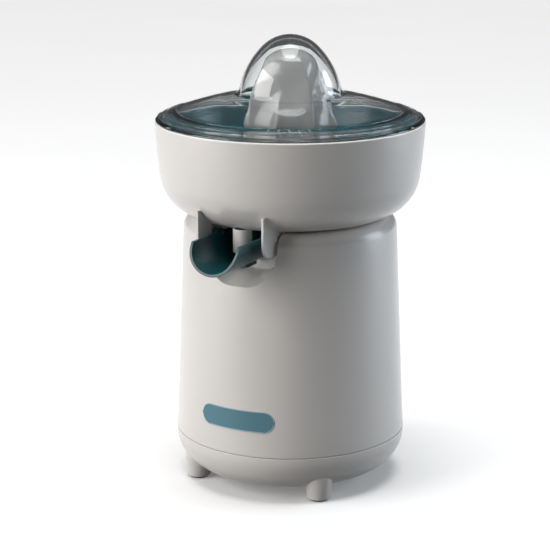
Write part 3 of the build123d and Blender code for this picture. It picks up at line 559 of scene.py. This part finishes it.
class PRESS_OT_base(bpy.types.Operator):
    """Base cover with its four feet, and their rubber pads"""
    bl_idname = "press.base"
    bl_label = "Base cover"

    def execute(self, context):
        size = sizes()
        rim = BASE_HIGH.x
        radius = size.base_round
        bottom = 6.7
        centre = (rim - radius, bottom + radius)
        seam = BODY_LOW.z - 0.35
        outer = arc(centre, radius, -90, 0)
        inner = arc(centre, radius - size.wall, 0, -90)
        outline = ([(0, bottom)] + outer + [(rim, seam - 0.3), (rim - 0.3, seam), (rim - 2.7, seam)]
                   + [(rim - 2.9, BASE_HIGH.z), (rim - 4.6, BASE_HIGH.z), (rim - 4.6, seam - 4)]
                   + inner[3:] + [(0, bottom + size.wall)])
        cover = lathe("base_cover_skin", outline)
        pad_r = 6.5
        under = PAD_LOW.z + 1.2
        room = 1.5
        for spot in foot_spots():
            foot = lathe("foot", rounded([(0, under), (8.0, under, 0.8), (9.3, 15.0, 6), (8.2, 20.5, 3),
                                          (0, 23.5)]), ROUND_PARTS, spot)
            hollow = lathe("foot_limit", [(0, bottom + room)] + arc(centre, radius - room, -90, 0)
                           + [(0, centre[1])])
            combine(foot, hollow, "DIFFERENCE")
            combine(cover, foot, "UNION")
            seat = lathe("pad_seat", [(0, -1), (pad_r, -1), (pad_r, PAD_HIGH.z), (0, PAD_HIGH.z)],
                         ROUND_PARTS, spot)
            combine(cover, seat, "DIFFERENCE")
        soften(cover, 0.4, 2)
        settle(cover, "housing", "white", MATERIALS["shell"], "base_cover")
        edge = pad_r - 0.05
        outline = rounded([(0, 0), (edge, 0, 0.5), (edge, PAD_HIGH.z, 0.3), (0, PAD_HIGH.z)])
        pad = join("foot_pad_set", [lathe("pad", outline, ROUND_PARTS, spot) for spot in foot_spots()])
        smooth(pad)
        settle(pad, "housing", "pad", MATERIALS["rubber"], "foot_pads")
        return {"FINISHED"}


def bowl_curve(inset):
    """Side of the bowl from its bottom to its rim, moved inwards by inset."""
    radius = sizes().bowl_round - inset
    rim = BOWL_HIGH.x - inset
    centre = (BOWL_HIGH.x - 3.0 - sizes().bowl_round, sizes().deck + GAP + sizes().bowl_round)
    low = arc(centre, radius, -90, -7.5, 3)
    start = Vector(low[-1])
    end = Vector((rim, BOWL_HIGH.z))
    lean = radians(7.5)
    chord = end - start
    pull = chord.length / 2 / cos(lean - atan2(chord.x, chord.y))
    middle = start + Vector((sin(lean), cos(lean))) * pull
    side = [start.lerp(middle, t).lerp(middle.lerp(end, t), t) for t in [k / 12 for k in range(1, 13)]]
    return low + [tuple(p) for p in side]


class PRESS_OT_bowl(bpy.types.Operator):
    """White bowl with its sleeve, ledge, cheeks and outlet tube"""
    bl_idname = "press.bowl"
    bl_label = "Bowl"

    def execute(self, context):
        size = sizes()
        wall = size.bowl_wall
        outer = bowl_curve(0)
        inner = bowl_curve(wall)
        rim = BOWL_HIGH.x
        top = BOWL_HIGH.z
        ledge = STRAINER_HIGH.z - 1.9
        floor = size.deck + GAP
        rim_round = [(rim - 0.02, top - 0.7), (rim - 0.35, top - 0.15), (rim - 0.9, top),
                     (rim - wall + 0.3, top), (rim - wall, top - 0.3)]
        side_in = [p for p in reversed(inner) if p[1] < 237]
        bead = [(rim - wall - 0.05, ledge), (85.8, ledge), (85.8, ledge - 2), (88.0, 237.4)]
        outer_r, inner_r, sleeve_top = 17.9, HUB + 1, 217.0
        sleeve = rounded([(outer_r, floor + wall, 2.0), (outer_r, sleeve_top, 0.6),
                          (inner_r, sleeve_top, 0.6), (inner_r, floor, 0.4)])
        outline = outer[:-1] + rim_round + bead + side_in + [tuple(p) for p in sleeve]
        bowl = lathe("bowl_skin", outline)
        low = BOWL_LOW.z + 0.2
        front, back, cheek_top, front_round, back_round = 82.0, 54.0, 196.0, 9, 5
        shape = ([(front, cheek_top), (back, cheek_top)]
                 + arc((back + back_round, low + back_round), back_round, 180, 270)
                 + arc((front - front_round, low + front_round), front_round, -90, 0))
        for middle in (-24.0, 24.0):
            cheek = prism("cheek", shape, middle - size.cheek / 2, middle + size.cheek / 2, from_side)
            keep = lathe("cheek_limit", [(0, 160), (120, 160), (120, 230)]
                         + [p for p in reversed(bowl_curve(0.8)) if p[1] < 230])
            combine(cheek, keep, "INTERSECT")
            combine(bowl, cheek, "UNION")
        spot = (0, -65.2)
        for name, r, bottom, top, way in (("tube", 6.3, BOWL_LOW.z, 184.0, "UNION"),
                                          ("bore", 5.0, 160.0, 200.0, "DIFFERENCE")):
            pipe = lathe(name, [(0, bottom), (r, bottom), (r, top), (0, top)], ROUND_PARTS, spot)
            combine(bowl, pipe, way)
        soften(bowl, 0.35, 2)
        settle(bowl, "bowl", "white", MATERIALS["shell"], "bowl")
        return {"FINISHED"}


class PRESS_OT_strainer(bpy.types.Operator):
    """Teal strainer with its radial slots"""
    bl_idname = "press.strainer"
    bl_label = "Strainer"

    def execute(self, context):
        size = sizes()
        wall = size.strainer_wall
        rim = STRAINER_HIGH.x
        top = STRAINER_HIGH.z
        floor = STRAINER_LOW.z
        outline = rounded([
            (19.0, floor), (66.0, floor, 8.0), (75.0, 218.0, 6.0), (80.4, top - 1.8), (rim, top - 1.8, 0.5),
            (rim, top, 0.6), (78.6, top, 1.2), (73.2, 218.4, 7.0), (65.2, floor + wall, 6.0),
            (21.0, floor + wall, 1.5), (21.0, 219.0, 0.7), (19.0, 219.0, 0.7)])
        piece = lathe("strainer_skin", outline)
        cutters = []
        inside, outside, half = 39, 61, 0.9
        for k in range(size.slots):
            turn = 2 * pi * k / size.slots
            shape = (arc((outside - half, 0), half, -90, 90, 30)
                     + arc((inside + half, 0), half, 90, 270, 30))
            shape = [(x * cos(turn) - y * sin(turn), x * sin(turn) + y * cos(turn)) for x, y in shape]
            cutters.append(prism("slot", shape, floor - 2, floor + wall + 2, from_above))
        combine(piece, join("slots", cutters), "DIFFERENCE")
        smooth(piece, 30)
        settle(piece, "strainer", "teal", MATERIALS["teal"], "strainer")
        return {"FINISHED"}


def cone_radius(z):
    """Radius over the ribs: a slightly leaning skirt, a long curve and a round tip."""
    low, tip, cap = CONE_LOW.z, CONE_HIGH.z, 24.4
    skirt = (33.0, low + 20)
    edge = radians(45.8)
    neck = (cap * cos(edge), tip - cap + cap * sin(edge))
    if z <= skirt[1]:
        return 34.6 - 1.6 * (z - low) / 20
    if z >= neck[1]:
        return sqrt(max(0.0, cap ** 2 - (z - tip + cap) ** 2))
    centre, radius = circle_through(skirt, (30.2, 258.0), neck)
    return centre.x + sqrt(radius ** 2 - (z - centre.y) ** 2)


def cone_ring(z):
    """One level of the cone: points (angle, radius) over a quarter turn, from a tall rib to the next."""
    full = cone_radius(z)
    round_tip = 1 - ease(z, CONE_HIGH.z - 30, CONE_HIGH.z + 1)
    deep = full * sizes().flute * round_tip
    shallow = full * sizes().flute * 0.5 * (0.5 + 0.5 * ease(z, CONE_LOW.z, 236)) * round_tip
    merged = ease(z, 238, 272)
    crest = min(0.2, 1.0 / max(full, 1.0))

    def scoop(share, power):
        """0 on a rib, 1 in the middle of a flute, with a narrow round crest."""
        share = max(0.0, share - crest) / (1 - crest)
        return 1 - (1 - share) ** power

    half = []
    for k in range(25):
        share = k / 24
        tall = deep * scoop(share, 2.5)
        both = shallow * scoop(1 - abs(1 - 2 * share), 2.5)
        half.append((share * pi / 4, full - tall * merged - both * (1 - merged)))
    return half + [(pi / 2 - angle, r) for angle, r in reversed(half[1:-1])]


class PRESS_OT_cone(bpy.types.Operator):
    """Ribbed reaming cone, its tall and short ribs in turn"""
    bl_idname = "press.cone"
    bl_label = "Cone"

    def execute(self, context):
        low, tip = CONE_LOW.z, CONE_HIGH.z
        rows = 80
        turn = radians(56)
        verts = []
        steps = 0
        for i in range(rows):
            z = low + (tip - low) * (1 - (1 - i / rows) ** 1.6)
            ring = cone_ring(z)
            steps = 4 * len(ring)
            for quarter in range(4):
                for angle, r in ring:
                    angle += turn + quarter * pi / 2
                    verts.append((r * cos(angle), r * sin(angle), z))
        faces = [(i * steps + k, i * steps + (k + 1) % steps, (i + 1) * steps + (k + 1) % steps,
                  (i + 1) * steps + k) for i in range(rows - 1) for k in range(steps)]
        verts.append((0, 0, tip))
        faces += [((rows - 1) * steps + k, (rows - 1) * steps + (k + 1) % steps, rows * steps)
                  for k in range(steps)]
        hollow = [(28.0, low), (26.0, low + 24), (18.0, low + 46), (8.4, low + 53), (8.0, low + 10),
                  (4.1, low + 10), (4.1, low + 36)]
        start = len(verts)
        for r, z in hollow:
            verts += [(r * cos(turn + 2 * pi * k / steps), r * sin(turn + 2 * pi * k / steps), z)
                      for k in range(steps)]
        faces += [(k, (k + 1) % steps, start + (k + 1) % steps, start + k) for k in range(steps)]
        for i in range(len(hollow) - 1):
            a = start + i * steps
            faces += [(a + k, a + (k + 1) % steps, a + steps + (k + 1) % steps, a + steps + k)
                      for k in range(steps)]
        faces.append(tuple(start + (len(hollow) - 1) * steps + k for k in range(steps)))
        piece = new_piece("cone_skin", verts, faces)
        smooth(piece, 22)
        settle(piece, "cone", "reamer", MATERIALS["reamer"], "cone")
        return {"FINISHED"}


class PRESS_OT_lid(bpy.types.Operator):
    """Clear lid: domed over the cone, with a sloping brim, a locating skirt and a seat"""
    bl_idname = "press.lid"
    bl_label = "Lid"

    def execute(self, context):
        size = sizes()
        wall = size.lid_wall
        rim = LID_HIGH.x
        seat = LID_LOW.z + 4.7
        centre = (0, LID_HIGH.z - size.dome)
        steep = 45
        sag = 296.0
        brim_in, brim_out = Vector((37.2, 262.7)), Vector((88.4, 248.0))
        chord = brim_out - brim_in
        pivot = (brim_in + brim_out) / 2 + Vector((chord.y, -chord.x)).normalized() * sqrt(
            sag ** 2 - (chord.length / 2) ** 2)

        def brim(r, depth=0.0):
            """Height of the brim's surface at a radius, below its top by depth."""
            return pivot.y + sqrt((sag - depth) ** 2 - (r - pivot.x) ** 2)

        def flank(start, end):
            """Curved side of the dome, tangent to the crown at its start."""
            start, end = Vector(start), Vector(end)
            way = Vector((sin(radians(steep)), -cos(radians(steep))))
            chord = end - start
            bend = way.angle(chord)
            middle = start + way * (chord.length / 2 / cos(bend))
            return [tuple(start.lerp(middle, t).lerp(middle.lerp(end, t), t))
                    for t in [k / 18 for k in range(1, 19)]]

        crown = arc(centre, size.dome, 90, steep, 3)
        crown_in = arc(centre, size.dome - wall, 90, steep, 3)
        side = flank(crown[-1], (34.3, 265.0))
        side_in = flank(crown_in[-1], (32.0, 264.4))
        top = [(r, brim(r)) for r in (44, 52, 60, 67, 73)]
        ridges = [(r + step, brim(r + step) + rise) for r in (81.5, 85.0)
                  for step, rise in ((0, 0), (0.4, 0.12), (0.9, 0.12), (1.3, 0))]
        under = [(r, brim(r, wall)) for r in (70, 62, 54, 46)]
        outer = rounded([side[-1], (36.4, brim(37.2) + 0.1, 1.8), *top, *ridges, (88.6, brim(88.6), 1.6),
                         (rim, 246.4, 0.5), (rim, seat, 0.4), (86.6, seat, 0.4),
                         (77.4, brim(77.4, wall) - 0.5, 0.8), (77.4, LID_LOW.z, 0.6), (75.4, LID_LOW.z, 0.6),
                         (75.4, brim(75.4, wall), 0.6), *under, (34.4, brim(36.4, wall) + 0.2, 1.6),
                         side_in[-1]])
        outline = crown + side[:-1] + [tuple(p) for p in outer] + side_in[-2::-1] + crown_in[::-1]
        piece = lathe("lid_skin", outline, 256)
        smooth(piece, 40)
        settle(piece, "lid", "clear", MATERIALS["clear"], "lid")
        return {"FINISHED"}


class PRESS_OT_spout(bpy.types.Operator):
    """Teal half-round spout with its keel and pivot bosses"""
    bl_idname = "press.spout"
    bl_label = "Spout"

    def execute(self, context):
        size = sizes()
        wall = size.spout_wall
        centre_z = 178.5
        radius = 17.7
        top = 180.5
        chin = -SPOUT_LOW.y
        back = -SPOUT_HIGH.y
        pivot = (63.0, 179.0)

        def section(r):
            return [(-r, top)] + arc((0, centre_z), r, -180, 0, 4) + [(r, top)]

        body = prism("spout_skin", section(radius), back, chin, from_front)
        tip = (chin - 7.5, top)
        bottom = (chin, centre_z - radius)
        middle, reach = circle_through(tip, (chin - 2, centre_z - radius / 2), bottom)
        first = degrees(atan2(tip[1] - middle.y, tip[0] - middle.x))
        last = degrees(atan2(bottom[1] - middle.y, bottom[0] - middle.x))
        beyond = 2
        lip = arc(middle, reach, first, last, 2) + [
            (chin + beyond, bottom[1] - beyond), (chin + beyond, top + beyond), (tip[0], top + beyond)]
        combine(body, prism("lip_cut", lip, -30, 30, from_side), "DIFFERENCE")
        keel_half = 4.5
        ends = [(69.2 - keel_half, -90, 90), (51.2 + keel_half, 90, 270)]
        keel = [(y, -f) for f, start, end in ends for f, y in arc((f, 0), keel_half, start, end, 12)]
        combine(body, prism("keel", keel, SPOUT_LOW.z, SPOUT_LOW.z + 6, from_above), "UNION")
        boss = arc(pivot, 2.8, 0, 350, 10)
        combine(body, prism("boss", boss, SPOUT_LOW.x, SPOUT_HIGH.x, from_side), "UNION")
        hollow = [(x, z + (7 if z >= top else 0)) for x, z in section(radius - wall)]
        combine(body, prism("channel", hollow, back + wall, chin + 10, from_front), "DIFFERENCE")
        bore = arc(pivot, 1.55, 0, 340, 20)
        combine(body, prism("bore", bore, -30, 30, from_side), "DIFFERENCE")
        soften(body, 0.5, 3)
        settle(body, "spout", "teal", MATERIALS["teal"], "spout")
        return {"FINISHED"}


class PRESS_OT_badge(bpy.types.Operator):
    """Blank pill-shaped plate on the front, its rounded rim coloured lighter as a painted edge highlight"""
    bl_idname = "press.badge"
    bl_label = "Badge"

    def execute(self, context):
        middle = (BADGE_LOW.z + BADGE_HIGH.z) / 2
        half_h = (BADGE_HIGH.z - BADGE_LOW.z) / 2
        straight = BADGE_HIGH.x - half_h
        slope = TAPER / (sizes().deck - sizes().shoulder - BODY_LOW.z)

        def skin(x, z, lift):
            """A point on the body's side, raised by lift."""
            r = BODY_HIGH.x - slope * (z - BODY_LOW.z) + lift
            turn = asin(x / r)
            return (r * sin(turn), -r * cos(turn), z)

        def pill(inset, lift, steps=24):
            """Closed outline of the plate, at a distance inside its edge."""
            r = half_h - inset
            out = []
            for sign, start in ((1, -90), (-1, 90)):
                for k in range(steps + 1):
                    angle = radians(start + 180 * k / steps)
                    out.append((sign * straight + r * cos(angle), middle + r * sin(angle)))
                for k in range(1, 16):
                    share = k / 16
                    out.append((sign * straight * (1 - 2 * share), middle + sign * r))
            return [skin(x, z, lift) for x, z in out]

        def plate(levels):
            """Band of rings at (inset, lift), open at its first and last ring."""
            rings = [pill(inset, lift) for inset, lift in levels]
            count = len(rings[0])
            verts = [p for ring in rings for p in ring]
            faces = []
            for i in range(len(rings) - 1):
                a = i * count
                faces += [(a + k, a + (k + 1) % count, a + count + (k + 1) % count, a + count + k)
                          for k in range(count)]
            return verts, faces

        levels = [(0.0, -0.65), (0.0, 0.15), (0.12, 0.32), (0.3, 0.38), (0.5, 0.38), (0.65, 0.3),
                  (0.75, 0.15)]
        face = [(0.75 + (half_h - 0.8) * k / 4, 0.15) for k in range(5)]
        back = [((half_h - 0.05) * k / 3, -0.65) for k in range(4)]
        verts, faces = [], []
        for band in (levels, face, back):
            band_verts, band_faces = plate(band)
            faces += [tuple(i + len(verts) for i in f) for f in band_faces]
            verts += band_verts
        piece = new_piece("badge_plate", verts, faces)
        work = bmesh.new()
        work.from_mesh(piece.data)
        bmesh.ops.holes_fill(work, edges=[e for e in work.edges if e.is_boundary])
        bmesh.ops.triangulate(work, faces=[f for f in work.faces if len(f.verts) > 4])
        bmesh.ops.recalc_face_normals(work, faces=work.faces)
        work.to_mesh(piece.data)
        work.free()
        smooth(piece, 40)
        settle(piece, "housing", "badge", MATERIALS["badge"], "badge")
        # Faces on the plate's rounded rim get the lighter colour: a painted edge highlight
        piece.data.materials.append(MATERIALS["badge_edge_highlight"])
        edge = half_h - 0.7
        for face in piece.data.polygons:
            x, _, z = face.center / MM
            reach = Vector((max(0.0, abs(x) - straight), z - middle)).length
            if reach > edge and abs(z - middle) > 1:
                face.material_index = 1
        return {"FINISHED"}


class PRESS_OT_inside(bpy.types.Operator):
    """Finishes of the frame's own nodes: motor, gears, screws, pins and gland"""
    bl_idname = "press.inside"
    bl_label = "Works inside"

    def execute(self, context):
        finishes = {
            "steel": ("spout_pins", "base_screws", "gear_screws", "drive_spindle", "idler_axle",
                      "return_spring", "motor_shaft", "upper_bracket", "lower_bracket", "motor_bolts",
                      "motor_posts"),
            "rubber": ("cord_gland", "spindle_seal"),
            "black": ("gear_plate", "gear_cover", "spring_bridge", "micro_switch", "cooling_fan"),
            "bronze": ("spindle_bushes", "motor_bushes"),
            "acetal": ("output_gear", "idler_gear", "thrust_cup", "switch_plunger", "motor_pinion"),
            "lamination": ("stator_core", "rotor_core"),
            "copper": ("motor_coil",),
        }
        for finish, nodes in finishes.items():
            for node in nodes:
                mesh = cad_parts[node].data
                mesh.materials.clear()
                mesh.materials.append(MATERIALS[finish])
        return {"FINISHED"}


class PRESS_OT_finishes(bpy.types.Operator):
    """Makes every material"""
    bl_idname = "press.finishes"
    bl_label = "Finishes"

    def execute(self, context):
        tint = colours()
        MATERIALS.update({
            "shell": moulded("shell_plastic", tint.shell, 0.3, 0.00002,
                             {"Coat Weight": 0.3, "Coat Roughness": 0.12}, 0.0006),
            "teal": moulded("teal_plastic", tint.teal, 0.24, 0.00002, soft_edge=0.0005),
            "reamer": moulded("reamer_plastic", tint.reamer, 0.16, 0.00002, {"Coat Weight": 0.5}),
            "badge": moulded("badge_plastic", tint.badge, 0.22, 0.00002),
            # Lighter plastic for the badge's rim: a painted edge highlight
            "badge_edge_highlight": moulded("badge_line_plastic", tint.badge_edge_highlight, 0.3, 0.00002),
            "black": moulded("black_plastic", tint.black, 0.45, 0.00006),
            "acetal": moulded("acetal_plastic", tint.acetal, 0.38, 0.00004),
            "clear": clear_plastic("clear_plastic"),
            "rubber": rubber("soft_rubber", tint.rubber),
            "steel": turned_metal("turned_steel", tint.steel, 0.24, (1, 1, 9)),
            "bronze": turned_metal("sintered_bronze", tint.bronze, 0.42, (1, 1, 1)),
            "lamination": stacked_sheet("core_sheet", tint.lamination, 0.0005),
            "copper": winding("enamelled_wire", tint.copper, 0.0006),
        })
        return {"FINISHED"}


def softbox(name, spot, aim, width, height, watts, tint=(1, 1, 1)):
    """Rectangular studio light."""
    light = bpy.data.lights.new(name, "AREA")
    light.shape = "RECTANGLE"
    light.size = width
    light.size_y = height
    light.energy = watts
    light.color = tint
    obj = bpy.data.objects.new(name, light)
    obj.location = spot
    obj.rotation_euler = (Vector(aim) - Vector(spot)).to_track_quat("-Z", "Y").to_euler()
    obj.visible_camera = False
    bpy.context.collection.objects.link(obj)
    return obj


class PRESS_OT_stage(bpy.types.Operator):
    """Pale floor, softboxes and the camera"""
    bl_idname = "press.stage"
    bl_label = "Stage"

    def execute(self, context):
        turn = radians(28.2)
        away, up, tilt = 1.2069, 0.4523, 0.2549
        lens = bpy.data.cameras.new("camera")
        lens.sensor_width = 36.0
        lens.lens = 119.68364
        lens.shift_x = -0.02781818
        lens.clip_start = 0.01
        camera = bpy.data.objects.new("camera", lens)
        camera.location = (away * sin(turn), -away * cos(turn), up)
        camera.rotation_euler = (pi / 2 - tilt, 0, turn)
        context.collection.objects.link(camera)
        context.scene.camera = camera

        reach = 6000
        floor = new_piece("floor", [(-reach, -reach, 0), (reach, -reach, 0), (reach, reach, 0),
                                    (-reach, reach, 0)], [(0, 1, 2, 3)])
        floor_finish = Finish("pale_floor", {"Specular IOR Level": 0.2, "Emission Strength": 0.14})
        cloud = floor_finish.noise(3, 3.0)
        bounce = floor_finish.node("ShaderNodeLightPath", {}, {}, "Is Diffuse Ray")
        pale = floor_finish.mix(cloud, (0.93, 0.93, 0.93, 1), (0.95, 0.95, 0.95, 1))
        floor_finish.feed("Base Color", floor_finish.mix(bounce, pale, (0.1, 0.1, 0.1, 1)))
        floor_finish.feed("Emission Color", floor_finish.mix(bounce, (1, 1, 1, 1), (0, 0, 0, 1)))
        floor_finish.feed("Roughness", 0.5 + cloud * 0.1)
        floor.data.materials.append(floor_finish.material)

        def around(angle, distance, height):
            """A spot at an angle to the right of the camera's direction, in degrees."""
            a = turn + radians(angle)
            return (distance * sin(a), -distance * cos(a), height)

        middle = (0, 0, 0.16)
        softbox("key_left", around(-70, 1.5, 0.62), middle, 1.15, 1.3, 23, (1.0, 0.985, 0.97))
        softbox("fill_right", around(100, 1.4, 0.45), middle, 0.7, 0.9, 9.4, (0.8, 0.9, 1.0))
        sun = bpy.data.lights.new("overhead", "SUN")
        sun.energy = 2.4
        sun.angle = radians(40)
        overhead = bpy.data.objects.new("overhead", sun)
        overhead.visible_glossy = False
        context.collection.objects.link(overhead)
        world = bpy.data.worlds.new("studio")
        world.use_nodes = True
        tree = world.node_tree
        path = tree.nodes.new("ShaderNodeLightPath")
        level = tree.nodes.new("ShaderNodeMapRange")
        level.inputs["To Min"].default_value = 0.08
        level.inputs["To Max"].default_value = 0.06
        tree.links.new(path.outputs["Is Diffuse Ray"], level.inputs["Value"])
        tree.links.new(level.outputs["Result"], tree.nodes["Background"].inputs["Strength"])
        tree.nodes["Background"].inputs["Color"].default_value = (1, 1, 1, 1)
        context.scene.world = world
        context.scene.view_settings.view_transform = "Standard"
        return {"FINISHED"}


class PRESS_PT_panel(bpy.types.Panel):
    """Lists the pieces of the press"""
    bl_label = "Citrus Press"
    bl_idname = "PRESS_PT_panel"
    bl_space_type = "VIEW_3D"
    bl_region_type = "UI"
    bl_category = "Citrus Press"

    def draw(self, context):
        for operator in STEPS:
            self.layout.operator(operator.bl_idname)
        for group in (context.scene.press_sizes, context.scene.press_colours):
            for name in group.__annotations__:
                self.layout.prop(group, name)


STEPS = (PRESS_OT_finishes, PRESS_OT_stage, PRESS_OT_body, PRESS_OT_base, PRESS_OT_bowl, PRESS_OT_strainer,
         PRESS_OT_cone, PRESS_OT_lid, PRESS_OT_spout, PRESS_OT_badge, PRESS_OT_inside)
CLASSES = (PressSizes, PressColours) + STEPS + (PRESS_PT_panel,)


def register():
    for cls in CLASSES:
        bpy.utils.register_class(cls)
    bpy.types.Scene.press_sizes = PointerProperty(type=PressSizes)
    bpy.types.Scene.press_colours = PointerProperty(type=PressColours)


def unregister():
    del bpy.types.Scene.press_colours
    del bpy.types.Scene.press_sizes
    for cls in reversed(CLASSES):
        bpy.utils.unregister_class(cls)


def main():
    register()
    for step in STEPS:
        getattr(bpy.ops.press, step.bl_idname.split(".")[1])()


if __name__ == "__main__":
    main()
